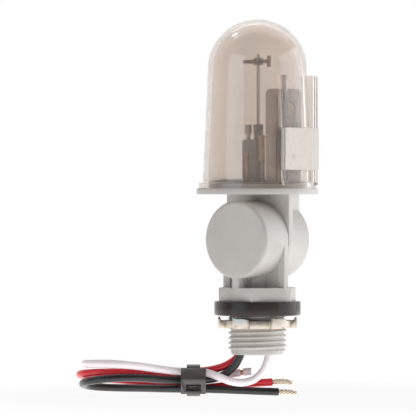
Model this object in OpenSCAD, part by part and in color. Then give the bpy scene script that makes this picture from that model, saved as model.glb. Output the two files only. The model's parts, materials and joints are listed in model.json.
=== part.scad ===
// Outdoor photocell switch on a swivelling stem.
// A smoked dome covers the light-sensing mechanism and carries a sliding light shield.
// The dome stands on a half-knuckle that swivels on the half-knuckle of the threaded stem.
// Origin: on the stem axis, in the plane where the gasket meets the box. +Z is up, the window faces +X,
// and the swivel axis runs along Y.

/* [Dome cover] */
// Outer diameter of the dome just above its lip
dome_base_d = 39.4; // [38:0.1:41]
// Outer diameter of the dome where its round top starts
dome_top_d = 35.8; // [34:0.1:37.5]
// Height of the drafted dome wall
dome_wall_h = 40.8; // [38:0.1:48]
// Wall thickness of the dome
dome_t = 1.9; // [1.5:0.1:2.3]
// Diameter of the lip that sits on the head flange
lip_d = 42.4; // [41.5:0.1:43.6]
// Height of the lip
lip_h = 2.2; // [1.6:0.1:3]

/* [Shield rails] */
// Distance between the outer faces of the two rail webs
rail_span = 17.8; // [15:0.1:19]
// Thickness of a rail web
rail_web_t = 1.4; // [1:0.1:2]
// How far a rail's lip stands out from its web
rail_lip_w = 0.9; // [0.7:0.1:1.3]
// Thickness of a rail's lip
rail_lip_t = 1.0; // [0.8:0.1:1.3]
// How far the rails' front edges stand past the dome's widest radius
rail_proud = 0; // [0:0.1:1]
// Height of the rails above the dome lip
rail_h = 38.2; // [32:0.1:40]
// Radius of the upper outer corner of a rail
rail_corner_r = 1.0; // [0.5:0.1:1.6]

/* [Light shield] */
// Height of the shield
shield_h = 15.1; // [10:0.1:18]
// Sheet thickness of the shield
shield_t = 0.4; // [0.3:0.05:0.6]
// Inner radius of the shield's bends
shield_bend_r = 0.4; // [0.2:0.1:0.6]
// Clearance between the shield and the rails
shield_clear = 0.15; // [0.1:0.05:0.25]
// Height of the shield's lower edge above the dome lip
shield_rest = 4.4; // [1:0.1:12]

/* [Head base] */
// Diameter of the flange under the dome
flange_d = 43.8; // [42.5:0.1:46]
// Thickness of the flange
flange_t = 2.1; // [1.6:0.1:3]
// Distance from the flange's underside down to the swivel axis
pivot_drop = 16.3; // [15.5:0.1:22]
// Width of the box-shaped neck behind the head's plate
neck_w = 18.4; // [14:0.1:22]
// How far the neck stays short of the rear disc's face
neck_setback = 0.4; // [0.2:0.1:2]
// Height of the ring that centres the dome
register_h = 1.4; // [1:0.1:2]
// Thickness of the ring that centres the dome
register_t = 1.6; // [1.2:0.1:2]

/* [Knuckle] */
// Diameter of the two knuckle discs
knuckle_d = 28; // [26:0.1:30]
// Distance from the mating plane to a disc's flat face
knuckle_depth = 13.1; // [12:0.1:15]
// Fillet round a disc's flat face
knuckle_edge_r = 1.3; // [0.5:0.1:1.6]
// Wall thickness of the knuckle halves
knuckle_t = 1.9; // [1.5:0.1:2.3]
// Width of the stem's plate below the swivel axis
stem_plate_w = 27.8; // [27:0.1:32]
// Width of the head's plate above the swivel axis
head_plate_w = 28.2; // [28:0.1:32]
// Thickness of the stem's plate
stem_plate_t = 1.6; // [1.2:0.1:2.4]
// Thickness of the head's plate
head_plate_t = 2.4; // [1.6:0.1:3]
// Gap between the two mating plates
swivel_gap = 0.15; // [0.1:0.05:0.3]

/* [Pivot] */
// Outer diameter of the hollow pivot on the stem
spigot_d = 17; // [15:0.1:17.4]
// Wall thickness of the hollow pivot
spigot_t = 2.0; // [1.5:0.1:2.4]
// Length of the hollow pivot past the mating plane
spigot_reach = 5.3; // [4.8:0.1:6]
// Radial clearance of the pivot in its bore
pivot_clear = 0.1; // [0.05:0.05:0.2]
// Radial height of the snap bead
bead_h = 0.6; // [0.4:0.1:0.8]
// Length of the snap bead along the pivot
bead_l = 1.4; // [1:0.1:1.6]
// Play of the snap bead in its groove
bead_play = 0.2; // [0.15:0.05:0.3]
// Width of the slots that let the pivot's end spring
spigot_slot_w = 1.6; // [1:0.1:2.4]

/* [Stem] */
// Size of the hexagon across its flats
hex_af = 26; // [24.5:0.1:27]
// Height of the hexagon
hex_h = 4.9; // [4:0.1:8]
// Height between the hexagon and the knuckle disc
neck_h = 3.25; // [2.5:0.05:6]
// Diameter of the round wire duct between hexagon and knuckle
duct_d = 11.4; // [11.2:0.1:12]
// Clearance round the leads where they pass through the duct
duct_clear = 0.1; // [0.05:0.05:0.15]
// Width of the rib along each edge of the stem's plate
edge_rib_w = 3; // [2:0.1:4]
// How far the edge ribs stand in front of the stem's plate
edge_rib_h = 0.6; // [0.3:0.1:1.5]
// Width of the post under the front disc's face
post_w = 2.8; // [2:0.1:5]
// Depth of the post behind the hexagon's front flat
post_l = 3; // [2:0.1:5]
// Major diameter of the stem's thread
thread_d = 20.9; // [20:0.1:22]
// Depth of the thread from its crest to its pitch line
thread_depth = 0.57; // [0.45:0.01:0.7]
// Length of the threaded nipple under the hexagon
nipple_l = 19.2; // [16:0.1:26]
// Wall between the nipple's bore and the thread's crest
nipple_t = 2.45; // [2.2:0.05:3]
// Diameter of the plain collar at the nipple's open end
collar_d = 19; // [18:0.1:19.6]
// Length of the plain collar
collar_l = 1.6; // [1:0.1:2.4]
// Chamfer at the collar's outer edge
collar_chamfer = 0.4; // [0.2:0.1:0.6]

/* [Gasket and locknut] */
// Outer diameter of the gasket
gasket_d = 31.1; // [28.5:0.1:33]
// Thickness of the gasket
gasket_t = 5.1; // [3:0.1:6]
// Radial clearance between the gasket and the thread
gasket_clear = 0.2; // [0.1:0.05:0.4]
// Rounding of the gasket's outer edges
gasket_edge = 0.5; // [0.2:0.1:1]
// Diameter over the locknut's lugs
nut_d = 28.6; // [27:0.1:31]
// Diameter of the locknut's ring between the lugs
nut_ring_d = 24.8; // [23.5:0.1:26]
// Thickness of the locknut's ring
nut_t = 2.8; // [2.4:0.1:4]
// Number of lugs on the locknut
nut_lugs = 6; // [4:1:8]
// Angle that one lug takes up
nut_lug_angle = 27; // [18:1:34]
// How far the lug tips rise above the ring
nut_lug_rise = 0.8; // [0.3:0.1:0.9]
// Distance from the gasket down to the locknut's ring
nut_drop = 1.8; // [1:0.1:2.5]
// Clearance of the locknut on the thread
nut_clear = 0.1; // [0.05:0.05:0.2]

/* [Mechanism] */
// Thickness of the insulating board
board_t = 1.6; // [1.2:0.1:2]
// Clearance of the board in its ring
board_clear = 0.2; // [0.1:0.05:0.4]
// Diameter of the moulded pegs that hold the board
peg_d = 2.4; // [2:0.1:3]
// Diameter of the flattened peg heads
peg_head_d = 4; // [3.4:0.1:4.6]
// Height of the flattened peg heads
peg_head_h = 0.9; // [0.6:0.1:1.2]
// Width of the photocell holder
holder_w = 12; // [10:0.1:13]
// Depth of the photocell holder
holder_l = 6.6; // [6:0.1:8]
// Height of the photocell holder
holder_h = 34.1; // [28:0.1:36]
// Wall thickness of the photocell holder
holder_t = 1.2; // [0.9:0.1:1.4]
// Width of the rib on each side of the holder
holder_rib_w = 2.6; // [1.6:0.1:3]
// Radius of the holder's upper corners
holder_corner_r = 2.4; // [1:0.1:3]
// Gap between the holder and the dome wall
holder_gap = 0.4; // [0.3:0.1:0.8]
// Diameter of the photocell
cell_d = 5.1; // [4:0.1:6]
// Thickness of the photocell
cell_t = 2.1; // [1.6:0.1:2.2]
// Height of the photocell's centre above the board
cell_z = 26.5; // [20:0.1:28]
// Depth that the photocell is set back from the holder's face
cell_setback = 0.4; // [0.1:0.1:0.6]
// Clearance of the photocell in its seat
cell_clear = 0.15; // [0.1:0.05:0.3]
// Diameter of bare connecting wire
wire_d = 0.8; // [0.6:0.1:1]
// Height of the terminal block
block_h = 16; // [12:0.1:18]
// Length of the terminal block across the window direction
block_w = 5; // [4.4:0.1:6]
// Length of the terminal block along the window direction
block_l = 6.6; // [6.4:0.1:7.4]
// Height of the bimetal blade above the terminal block
blade_h = 30.7; // [26:0.1:32]
// Width of the bimetal blade
blade_w = 1.4; // [1:0.1:2.4]
// Thickness of the bimetal blade
blade_t = 0.6; // [0.5:0.1:1.2]
// Length of the contact arm on the blade
arm_l = 11.7; // [10:0.1:14]
// Height of the contact arm
arm_h = 1.3; // [1:0.1:2]
// Width of the contact arm
arm_w = 1.8; // [1.4:0.1:2.4]
// Height of the arm's hub on the blade
hub_h = 2.6; // [2:0.1:3.4]
// Height of the tab at the arm's end
tab_h = 4.0; // [3:0.1:5]
// Height of the clamp bush and the contact stud
stud_h = 3.4; // [2.6:0.1:4]
// Height of both above the terminal block
stud_z = 2.0; // [1.5:0.1:3]
// Body diameter of the heater resistor
heater_d = 2.4; // [2:0.1:2.6]
// Body length of the heater resistor
heater_l = 9; // [7:0.1:10]
// Height of the heater's body above the board
heater_z = 8.5; // [6:0.1:10]

/* [Leads] */
// Diameter over the insulation of a lead
lead_d = 2.8; // [2.4:0.1:2.8]
// Diameter of the stranded conductor
strand_d = 1.9; // [1.4:0.1:2.2]
// Strap width of the cable tie
tie_w = 4.8; // [3.6:0.1:5]
// Strap thickness of the cable tie
tie_t = 1.1; // [0.9:0.1:1.4]
// Width of the cable tie's head
tie_head_w = 9; // [7:0.1:9]

/* [Hidden] */
$fn = 64;

// Small overlap that joins shapes of one moulding, and oversize of cutting tools
join = 0.2;
cut = 1;

// Heights, from the gasket's underside up
hex_z0 = gasket_t;
hex_z1 = hex_z0 + hex_h;
pivot_z = hex_z1 + neck_h + knuckle_d / 2;
flange_z0 = pivot_z + pivot_drop;
flange_z1 = flange_z0 + flange_t;
lip_z1 = flange_z1 + lip_h;
dome_z1 = lip_z1 + dome_wall_h;
board_z1 = flange_z1 + board_t;
block_z1 = board_z1 + block_h;

// Nipple and locknut
thread_r = thread_d / 2;
pitch_r = thread_r - thread_depth;
bore_r = thread_r - nipple_t;
nipple_z0 = hex_z0 - nipple_l;
nut_z1 = -nut_drop;
nut_z0 = nut_z1 - nut_t;
nut_bore_r = pitch_r + nut_clear;
nut_turn = 41.5;
nut_tip_w = 0.7;
thread_end_gap = 0.15;
bore_roof = 2;

// Knuckle and pivot
knuckle_r = knuckle_d / 2;
cup_floor = knuckle_depth - knuckle_t;
cup_r = knuckle_r - knuckle_t;
passage_clear = 0.4;
spigot_r = spigot_d / 2;
spigot_bore_r = spigot_r - spigot_t;
socket_r = spigot_r + pivot_clear;
socket_t = 1.8;
bead_y0 = spigot_reach - bead_l - bead_h / 4;
spigot_slot_y = 1;
wire_spacing = 2.9;
duct_skin = 0.5;
duct_slot_r = lead_d / 2 + duct_clear;
duct_slot_y = -duct_skin - duct_slot_r;
passage_w = 2 * wire_spacing + lead_d + 2 * passage_clear;
passage_y0 = spigot_reach + passage_clear;
passage_y1 = cup_floor - passage_clear;

// Dome and rails
dome_base_r = dome_base_d / 2;
dome_top_r = dome_top_d / 2;
dome_bore_r = dome_base_r - dome_t;
rail_web_out = rail_span / 2;
rail_out = rail_web_out + rail_lip_w;
rail_face = max(dome_base_r, dome_top_r) + rail_proud;
rail_z1 = lip_z1 + rail_h;

// Light shield
shield_in = rail_out + shield_clear;
shield_back = rail_face - rail_lip_t - shield_clear - shield_t;
shield_front = rail_face + shield_clear + shield_t;
shield_z0 = lip_z1 + shield_rest;

// Register ring, board and pegs
register_clear = 0.2;
register_r = dome_bore_r - register_clear;
board_r = register_r - register_t - board_clear;
peg_at = [[-9.5, -8], [-9.5, 8]];
peg_clear = 0.1;
wire_y = (passage_y0 + passage_y1) / 2;

// Mechanism
function dome_inner_r(z) = dome_bore_r - (dome_base_r - dome_top_r) * (z - lip_z1) / dome_wall_h;
holder_z1 = board_z1 + holder_h;
holder_face = sqrt(dome_inner_r(holder_z1) ^ 2 - (holder_w / 2) ^ 2) - holder_gap;
holder_rib_t = 0.5;
holder_rib_gap = 1.5;
cell_seat = holder_face - cell_setback - cell_t;
cell_wire_gap = 2.4;
cell_wire_d = 0.6;
block_x = -1.8;
blade_x = 0.4;
blade_slot = 0.05;
bush_r = 1.8;
bush_neck_r = 1.6;
stud_r = 1.3;
stud_neck_r = 0.8;
stud_x = block_x - block_l / 2 + stud_neck_r + join;
stud_wire_gap = 1.5;
stud_wire_x = stud_x + stud_wire_gap;
stud_wire_h = 0.7 * block_h;
arm_drop = 2;
arm_reach = 6.6;
arm_tab_t = 0.6;
hub_wall = 0.8;
blade_z1 = block_z1 + blade_h;
heater_gap = 0.6;
heater_x = block_x + block_l / 2 + heater_d / 2 + heater_gap;
heater_y = -1.7;
heater_cap_l = 1.2;
heater_body_d = heater_d - 0.4;
heater_lead_bend = 1.8;

// Routes of the three leads, as [along, across, height] in the plan direction of the tied bundle
lead_heading = 38;
tie_at = [-23, 1, -23.4];
bundle_w = 6;
bundle_h = 9;
tie_play = 0.1;
tie_corner = 1.2;
tie_head_t = 4.6;
tie_shoulder = 5.4;
tie_slot = [5.4, 2.6];
tie_slot_z = 2.4;
tie_slot_floor = 1.7;
route_red = [
    [-3.5, -0.2, 21], [-3.5, -0.2, 7.5], [-3.8, -0.8, 2.5], [-3.5, -1.1, -3.5], [-4.2, -1.1, -9.8],
    [-6.4, -0.9, -14.8], [-10.5, -0.6, -17.9], [-15.5, -0.5, -19.6], [-20.5, -0.5, -20.3],
    [-28, -0.5, -20.3], [-34.5, 1.6, -20.6], [-40.58, 4.6, -20.41], [-47.46, 7.6, -20.18],
    [-54.4, 8.6, -20.2], [-60.3, 6.7, -20.5], [-63.9, 1.7, -21.1], [-63.9, -4.5, -21.8],
    [-60.3, -9.5, -22.8], [-54.4, -11.4, -23.5], [-47.46, -10.3, -23.94], [-40.58, -7.2, -24.46],
    [-33.5, -3.5, -25.4], [-26, -0.6, -26.5], [-20.5, -0.5, -26.4], [-14, -0.6, -25.7],
    [-7.5, -0.6, -25], [-1, -0.5, -24.5], [5.4, -0.3, -24.1]
];
route_black = [
    [-1.25, 1.6, 21], [-1.25, 1.6, 7.5], [-2.2, 1.9, 2.5], [-3.9, 2.2, -4], [-5.1, 2.4, -11],
    [-6.6, 2.2, -16], [-9.6, 1.4, -20], [-14.2, 0.8, -22.7], [-20.5, 2.4, -23.4], [-28, 2.4, -23.4],
    [-34.5, 4.7, -23], [-40.58, 8.1, -22.28], [-46.54, 10.8, -21.99], [-53.3, 11.8, -22.3],
    [-59.2, 9.9, -23.1], [-62.8, 4.9, -24.1], [-62.8, -1.3, -25.2], [-59.2, -6.3, -26.1],
    [-53.3, -8.2, -26.5], [-46.54, -7, -26.59], [-40.58, -3.6, -26.48], [-33.5, 0.2, -26.5],
    [-26, 2.5, -26.5], [-20.5, 2.5, -26.5], [-13, 2.5, -26.7], [-6, 2.5, -27], [1, 2.3, -27.3],
    [7.6, 2.2, -27.5]
];
route_white = [
    [1.05, 3.35, 21], [1.05, 3.35, 7.5], [1.9, 3.1, 2.5], [3.2, 2.4, -4], [4.2, 1.6, -11],
    [3.9, 2.1, -16.5], [0.8, 2.7, -21.95], [-3.75, 3.75, -24.35], [-9.6, 4.65, -23.85], [-14.1, 4.25, -21.9],
    [-17.9, 2.85, -20.58], [-21.5, 2.45, -20.2], [-28, 2.4, -20.3], [-34.5, 4.6, -19.4],
    [-40.36, 7.7, -18.36], [-46.03, 10.2, -17.53], [-52.5, 11, -17.2], [-58.4, 9.1, -17.2],
    [-62, 4.1, -17.2], [-62, -2.1, -17.7], [-58.4, -7.1, -17.7], [-52.5, -9, -17.8],
    [-46.03, -8.2, -18.35], [-40.36, -5.4, -19.79], [-33.5, -2.7, -22.2], [-26, -0.7, -23.4],
    [-20.5, -0.7, -23.4], [-15.5, -2, -22.6], [-11, -2.1, -21.5], [-6.1, -2, -20.8]
];
route_red_strands = [[5.4, -0.3, -24.1], [8.6, -0.2, -23.9], [10.8, -0.1, -24], [12.7, 0, -24.6]];
route_black_strands = [[7.6, 2.2, -27.5], [10.9, 2.15, -27.6], [12.7, 2.1, -27.8], [14.4, 2.1, -28.1]];
route_white_strands = [[-6.1, -2, -20.8], [-5.61, -1.99, -20.73], [-5.12, -1.98, -20.66]];
route_white_slug = [[-5.12, -1.98, -20.66], [-3.65, -1.95, -20.45], [-2.2, -1.95, -20.4]];

// Sweeps a round cord with eight sides along hand-chosen points
cord_sides = 8;
function unit(v) = v / norm(v);
function in_plan(q) = [
    q[0] * cos(lead_heading) + q[1] * sin(lead_heading),
    q[0] * sin(lead_heading) - q[1] * cos(lead_heading),
    q[2]
];
function heading(p, i) = unit(p[min(i + 1, len(p) - 1)] - p[max(i - 1, 0)]);
function across(u, t) = unit(u - (u * t) * t);
function sides(p, i, u) = i == len(p) ? [] : let (v = across(u, heading(p, i))) concat([v], sides(p, i + 1, v));

module cord(route, d) {
    path = [for (q = route) in_plan(q)];
    n = cord_sides;
    first_side = abs(heading(path, 0)[2]) > 0.7 ? [1, 0, 0] : [0, 0, 1];
    u = sides(path, 0, first_side);
    rings = [
        for (i = [0 : len(path) - 1])
            let (w = cross(heading(path, i), u[i]))
                for (k = [0 : n - 1])
                    path[i] + d / 2 * (cos(360 * k / n) * u[i] + sin(360 * k / n) * w)
    ];
    last = (len(path) - 1) * n;
    walls = [
        for (i = [0 : len(path) - 2])
            for (k = [0 : n - 1])
                let (a = i * n + k, b = i * n + (k + 1) % n)
                    each [[a, a + n, b], [b, a + n, b + n]]
    ];
    ends = [[for (k = [0 : n - 1]) k], [for (k = [n - 1 : -1 : 0]) last + k]];
    polyhedron(rings, concat(walls, ends));
}

// Outline of a knuckle half: a disc about the origin and a bar of its own width on one side
module plate_outline(w, l) {
    circle(d = w);
    translate([-w / 2, 0]) square([w, l]);
}

module rounded_rect(w, h, r) {
    square([w - 2 * r, h], center = true);
    square([w, h - 2 * r], center = true);
    for (x = [-1, 1], y = [-1, 1]) translate([x * (w / 2 - r), y * (h / 2 - r)]) circle(r);
}

module disc_with_fillet(r, h, f) {
    rotate_extrude() {
        square([r - f, h]);
        square([r, h - f]);
        translate([r - f, h - f]) circle(f);
    }
}

module ring(r_out, r_in, h) {
    difference() {
        cylinder(r = r_out, h = h);
        translate([0, 0, -cut]) cylinder(r = r_in, h = h + 2 * cut);
    }
}

// Places children on the swivel axis, with their +Z towards the front or the rear
module to_front() { translate([0, 0, pivot_z]) rotate([90, 0, 0]) children(); }
module to_rear() { translate([0, 0, pivot_z]) rotate([-90, 0, 0]) children(); }

module spigot() {
    difference() {
        union() {
            translate([0, 0, -cup_floor - join]) cylinder(r = spigot_r, h = cup_floor + spigot_reach + join);
            translate([0, 0, bead_y0]) cylinder(r = spigot_r + bead_h, h = bead_l - bead_h);
            translate([0, 0, bead_y0 + bead_l - bead_h])
                cylinder(r1 = spigot_r + bead_h, r2 = spigot_r, h = bead_h);
        }
        translate([0, 0, -cup_floor]) cylinder(r = spigot_bore_r, h = cup_floor + spigot_reach + cut);
        for (a = [45, 135]) rotate(a)
            translate([-spigot_d, -spigot_slot_w / 2, spigot_slot_y]) cube([2 * spigot_d, spigot_slot_w, spigot_reach]);
    }
}

module nipple() {
    nut_zone = nut_t + 2 * thread_end_gap;
    difference() {
        translate([0, 0, nipple_z0 + collar_l]) cylinder(r = thread_r, h = nipple_l - collar_l + join);
        translate([0, 0, nut_z0 - thread_end_gap]) ring(thread_r + cut, pitch_r, nut_zone);
    }
    translate([0, 0, nipple_z0 + collar_chamfer]) cylinder(d = collar_d, h = collar_l - collar_chamfer + join);
    translate([0, 0, nipple_z0])
        cylinder(d1 = collar_d - 2 * collar_chamfer, d2 = collar_d, h = collar_chamfer);
}

module swivel_stem() {
    duct_h = pivot_z - hex_z1 - spigot_bore_r;
    plate_l = pivot_z - hex_z1 + join;
    rib_x = (stem_plate_w - edge_rib_w) / 2;
    post_h = neck_h + knuckle_edge_r + join;
    color([0.72, 0.71, 0.69]) difference() {
        union() {
            difference() {
                union() {
                    to_front() disc_with_fillet(knuckle_r, knuckle_depth, knuckle_edge_r);
                    for (s = [-1, 1])
                        translate([s * rib_x - edge_rib_w / 2, -stem_plate_t - edge_rib_h, hex_z1 - join])
                            cube([edge_rib_w, edge_rib_h + join, plate_l]);
                    translate([-post_w / 2, -hex_af / 2, hex_z1 - join]) cube([post_w, post_l, post_h]);
                    to_front() linear_extrude(stem_plate_t) mirror([0, 1]) plate_outline(stem_plate_w, plate_l);
                }
                to_front() translate([0, 0, -cut]) cylinder(r = cup_r, h = cup_floor + cut);
            }
            to_rear() spigot();
            difference() {
                translate([0, 0, hex_z1 - join]) cylinder(d = duct_d, h = duct_h + join);
                translate([-duct_d, -join, hex_z1]) cube([2 * duct_d, duct_d, duct_h + cut]);
            }
            translate([0, 0, hex_z0]) cylinder(r = hex_af / 2 / cos(30), h = hex_h, $fn = 6);
            nipple();
        }
        translate([0, 0, nipple_z0 - cut]) cylinder(r = bore_r, h = hex_z1 - bore_roof - nipple_z0 + cut);
        translate([0, duct_slot_y, 0]) linear_extrude(pivot_z) {
            square([2 * wire_spacing, 2 * duct_slot_r], center = true);
            for (s = [-1, 1]) translate([s * wire_spacing, 0]) circle(duct_slot_r);
        }
    }
}

module stem_gasket() {
    e = gasket_edge;
    r = gasket_d / 2;
    hole_r = thread_r + gasket_clear;
    color([0.07, 0.07, 0.07]) rotate_extrude()
        polygon([
            [hole_r, 0], [r - e, 0], [r, e], [r, gasket_t - e], [r - e, gasket_t], [hole_r, gasket_t]
        ]);
}

// Plan of the locknut's lugs, as wedges of its full circle
module lug_wedges() {
    half = nut_d * tan(nut_lug_angle / 2);
    intersection() {
        circle(d = nut_d);
        for (i = [0 : nut_lugs - 1]) rotate(i * 360 / nut_lugs + nut_turn)
            polygon([[0, 0], [nut_d, -half], [nut_d, half]]);
    }
}

module locknut() {
    color([0.78, 0.74, 0.68]) translate([0, 0, nut_z0]) difference() {
        union() {
            cylinder(d = nut_ring_d, h = nut_t);
            linear_extrude(nut_t) lug_wedges();
            linear_extrude(nut_t + nut_lug_rise) difference() {
                lug_wedges();
                circle(d = nut_d - 2 * nut_tip_w);
            }
        }
        translate([0, 0, -cut]) cylinder(r = nut_bore_r, h = nut_t + 2 * cut);
    }
}

module lead_red() { color([0.78, 0.11, 0.14]) cord(route_red, lead_d); }
module lead_black() { color([0.13, 0.12, 0.12]) cord(route_black, lead_d); }
module lead_white() { color([0.93, 0.90, 0.92]) cord(route_white, lead_d); }
module red_strands() { color([0.78, 0.72, 0.62]) cord(route_red_strands, strand_d); }
module black_strands() { color([0.78, 0.72, 0.62]) cord(route_black_strands, strand_d); }
module white_strands() { color([0.72, 0.50, 0.34]) cord(route_white_strands, strand_d); }
module white_slug() { color([0.90, 0.84, 0.86]) cord(route_white_slug, lead_d); }

module cable_tie() {
    in_w = bundle_w + 2 * tie_play;
    in_h = bundle_h + 2 * tie_play;
    front = in_w / 2;
    nose = front + tie_head_t;
    foot = -in_h / 2;
    color([0.12, 0.12, 0.12]) translate(in_plan(tie_at)) rotate([90, 0, lead_heading - 90]) difference() {
        union() {
            translate([0, 0, -tie_w / 2]) linear_extrude(tie_w)
                rounded_rect(in_w + 2 * tie_t, in_h + 2 * tie_t, tie_corner + tie_t);
            translate([0, 0, -tie_head_w / 2]) linear_extrude(tie_head_w)
                polygon([
                    [front, foot], [nose, foot], [nose, foot + tie_shoulder],
                    [front + tie_head_t / 2, -foot - tie_t], [front + tie_t, -foot], [front, -foot]
                ]);
        }
        translate([0, 0, -tie_head_w]) linear_extrude(2 * tie_head_w) rounded_rect(in_w, in_h, tie_corner);
        translate([front + tie_slot_floor, foot + tie_slot_z - tie_slot[1] / 2, -tie_slot[0] / 2])
            cube([tie_head_t, tie_slot[1], tie_slot[0]]);
    }
}

module head_socket() {
    difference() {
        cylinder(r = socket_r + socket_t, h = cup_floor + join);
        translate([0, 0, -cut]) cylinder(r = socket_r, h = cup_floor + cut);
        translate([0, 0, bead_y0 - bead_play])
            cylinder(r = spigot_r + bead_h + pivot_clear, h = bead_l + 2 * bead_play);
    }
}

module swivel_head() {
    plate_l = flange_z0 - pivot_z + join;
    neck_y1 = knuckle_depth - neck_setback;
    color([0.72, 0.71, 0.69]) {
        difference() {
            union() {
                translate([0, swivel_gap, 0]) difference() {
                    union() {
                        to_rear() disc_with_fillet(knuckle_r, knuckle_depth, knuckle_edge_r);
                        to_rear() linear_extrude(head_plate_t)
                            mirror([0, 1]) plate_outline(head_plate_w, plate_l);
                        translate([-neck_w / 2, 0, pivot_z]) cube([neck_w, neck_y1, plate_l]);
                    }
                    to_rear() translate([0, 0, -cut]) cylinder(r = cup_r, h = cup_floor + cut);
                }
                translate([0, swivel_gap, 0]) to_rear() head_socket();
                translate([0, 0, flange_z0]) cylinder(d = flange_d, h = flange_t);
                translate([0, 0, flange_z1 - join]) ring(register_r, register_r - register_t, register_h + join);
            }
            translate([-passage_w / 2, passage_y0, pivot_z])
                cube([passage_w, passage_y1 - passage_y0, plate_l + flange_t + cut]);
        }
        for (p = peg_at) translate([p[0], p[1], flange_z1 - join]) {
            cylinder(d = peg_d, h = board_t + 2 * join);
            translate([0, 0, board_t + join]) cylinder(d1 = peg_head_d, d2 = peg_d, h = peg_head_h);
        }
    }
}

// Solid of revolution between the lip's foot and the top, drawn in by a wall
module dome_profile(inset, z0) {
    slope = (dome_base_r - dome_top_r) / dome_wall_h;
    intersection() {
        union() {
            polygon([
                [0, z0], [dome_base_r - inset + slope * (lip_z1 - z0), z0],
                [dome_top_r - inset, dome_z1], [0, dome_z1]
            ]);
            translate([0, dome_z1]) circle(dome_top_r - inset);
        }
        translate([0, z0]) square([dome_base_d, dome_z1 + dome_top_d]);
    }
}

// Side view of both rails, with the upper outer corner rounded
module rail_side(h) {
    r = rail_corner_r;
    square([rail_face, h - r]);
    square([rail_face - r, h]);
    translate([rail_face - r, h - r]) circle(r);
}

module rails() {
    z0 = flange_z1 + lip_h / 2;
    h = rail_z1 - z0;
    root = dome_bore_r / 2;
    translate([0, 0, z0]) intersection() {
        linear_extrude(h + cut) for (side = [0, 1]) mirror([0, side]) {
            translate([root, rail_web_out - rail_web_t]) square([rail_face - root, rail_web_t]);
            translate([rail_face - rail_lip_t, rail_web_out - rail_web_t])
                square([rail_lip_t, rail_web_t + rail_lip_w]);
        }
        translate([0, rail_span, 0]) rotate([90, 0, 0]) linear_extrude(2 * rail_span) rail_side(h);
    }
}

module dome_cover() {
    color([0.55, 0.49, 0.44, 0.6]) difference() {
        union() {
            rotate_extrude() dome_profile(0, flange_z1);
            translate([0, 0, flange_z1]) cylinder(d = lip_d, h = lip_h);
            rails();
        }
        rotate_extrude() dome_profile(dome_t, flange_z1 - cut);
    }
}

module light_shield() {
    w = 2 * (shield_in + shield_t);
    l = shield_front - shield_back;
    mid = (shield_front + shield_back) / 2;
    mouth = 2 * (rail_web_out + shield_clear);
    color([0.84, 0.81, 0.77]) translate([mid, 0, shield_z0]) linear_extrude(shield_h) difference() {
        rounded_rect(l, w, shield_bend_r + shield_t);
        rounded_rect(l - 2 * shield_t, w - 2 * shield_t, shield_bend_r);
        translate([-l, -mouth / 2]) square([l, mouth]);
    }
}

module base_board() {
    color([0.24, 0.20, 0.17]) difference() {
        translate([0, 0, flange_z1]) cylinder(r = board_r, h = board_t);
        for (p = peg_at) translate([p[0], p[1], flange_z1 - cut])
            cylinder(d = peg_d + 2 * peg_clear, h = board_t + 2 * cut);
    }
}

module head_wires() {
    color([0.30, 0.24, 0.22]) for (i = [-1, 0, 1])
        translate([i * wire_spacing, wire_y, pivot_z]) cylinder(d = lead_d, h = flange_z1 - pivot_z);
}

module terminal_block() {
    chamfer = 0.8;
    color([0.18, 0.16, 0.15]) translate([block_x, 0, board_z1]) rotate([90, 0, 0])
        translate([0, 0, -block_w / 2]) linear_extrude(block_w)
            polygon([
                [-block_l / 2, 0], [block_l / 2, 0], [block_l / 2, block_h - chamfer],
                [block_l / 2 - chamfer, block_h], [chamfer - block_l / 2, block_h],
                [-block_l / 2, block_h - chamfer]
            ]);
}

module bimetal_blade() {
    color([0.45, 0.42, 0.38]) translate([blade_x - blade_t / 2, -blade_w / 2, block_z1])
        cube([blade_t, blade_w, blade_h]);
}

module contact_arm() {
    z = blade_z1 - arm_drop - arm_h / 2;
    hub = [blade_t + 2 * hub_wall, blade_w + 2 * hub_wall, hub_h];
    x0 = blade_x - arm_reach;
    color([0.45, 0.38, 0.30]) difference() {
        union() {
            translate([x0, -arm_w / 2, z - arm_h / 2]) cube([arm_l, arm_w, arm_h]);
            translate([x0 + arm_l - arm_tab_t, -arm_w / 2, z - tab_h / 2]) cube([arm_tab_t, arm_w, tab_h]);
            translate([blade_x, 0, z]) cube(hub, center = true);
        }
        blade_hole(z - hub_h, 2 * hub_h);
    }
}

// Room for the blade in the pieces that sit on it
module blade_hole(z0, h) {
    translate([blade_x - blade_t / 2 - blade_slot, -blade_w / 2 - blade_slot, z0])
        cube([blade_t + 2 * blade_slot, blade_w + 2 * blade_slot, h]);
}

module clamp_bush() {
    color([0.20, 0.18, 0.17]) difference() {
        translate([blade_x, 0, block_z1]) {
            cylinder(r = bush_neck_r, h = stud_z + join);
            translate([0, 0, stud_z]) cylinder(r = bush_r, h = stud_h);
        }
        blade_hole(block_z1 - cut, stud_z + stud_h + 2 * cut);
    }
}

module contact_stud() {
    color([0.24, 0.21, 0.19]) translate([stud_x, 0, block_z1]) {
        cylinder(r = stud_neck_r, h = stud_z + join);
        translate([0, 0, stud_z]) cylinder(r = stud_r, h = stud_h);
    }
}

module stud_wire() {
    color([0.72, 0.45, 0.28]) translate([stud_wire_x, -block_w / 2 - wire_d / 2, board_z1])
        cylinder(d = wire_d, h = stud_wire_h);
}

module heater_resistor() {
    z0 = board_z1 + heater_z;
    color([0.75, 0.60, 0.45]) translate([heater_x, heater_y, 0]) {
        translate([0, 0, board_z1]) cylinder(d = wire_d, h = heater_z + join);
        translate([0, 0, z0]) cylinder(d = heater_body_d, h = heater_l);
        for (z = [z0, z0 + heater_l - heater_cap_l]) translate([0, 0, z]) cylinder(d = heater_d, h = heater_cap_l);
        translate([0, 0, z0 + heater_l - join]) cylinder(d = wire_d, h = heater_lead_bend + join);
    }
}

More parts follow.
